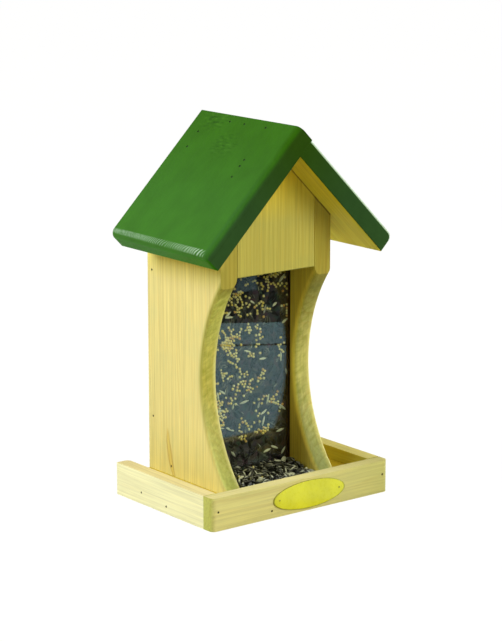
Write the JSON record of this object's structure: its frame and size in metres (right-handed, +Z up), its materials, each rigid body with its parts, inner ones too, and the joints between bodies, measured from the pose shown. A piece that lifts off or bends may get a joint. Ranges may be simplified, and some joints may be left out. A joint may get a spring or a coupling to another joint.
{
  "type": "wall bird feeder",
  "caption": "Wooden wall bird feeder: a seed hopper with a clear front pane and arched sides on a railed tray, under a gable roof that lifts off.",
  "frame": {"origin": "middle of the tray floor board's underside", "axes": "+Z up, +Y to the wall that it hangs on, +X to the right seen from the front"},
  "size_m": [0.2045, 0.148, 0.3427],
  "materials": {
    "pine": "sanded pine, clear oiled",
    "roof_green": "green satin paint on the top and the edges, bare underneath",
    "clear_pane": "clear, polished",
    "seed": "mixed dry bird seed",
    "plate_yellow": "plain yellow enamel",
    "nail_steel": "dull steel"
  },
  "bodies": {
    "feeder": {"base_board": "pine", "front_rail": "pine", "left_rail": "pine", "right_rail": "pine", "left_side_panel": "pine", "right_side_panel": "pine", "back_panel": "pine", "seed_ramp": "pine", "seed_fill": "seed", "seed_spill": "seed", "oval_plate": "plate_yellow", "plate_pins": "nail_steel", "back_nails": "nail_steel", "ramp_nails": "nail_steel", "base_nails": "nail_steel", "side_rail_nails": "nail_steel", "front_rail_nails": "nail_steel"},
    "roof": {"left_roof_board": "roof_green", "right_roof_board": "roof_green", "gable_board": "pine", "roof_cleat": "pine", "ridge_nails": "nail_steel", "gable_nails": "nail_steel", "cleat_nails": "nail_steel"},
    "pane": {"window_pane": "clear_pane"}
  },
  "joints": [
    {"name": "roof_lift", "type": "slide", "parent": "feeder", "child": "roof", "axis": [0, 0, 1], "range_m": [0, 0.12]},
    {"name": "pane_slide", "type": "slide", "parent": "feeder", "child": "pane", "axis": [0, 0, 1], "range_m": [0, 0.043]}
  ]
}
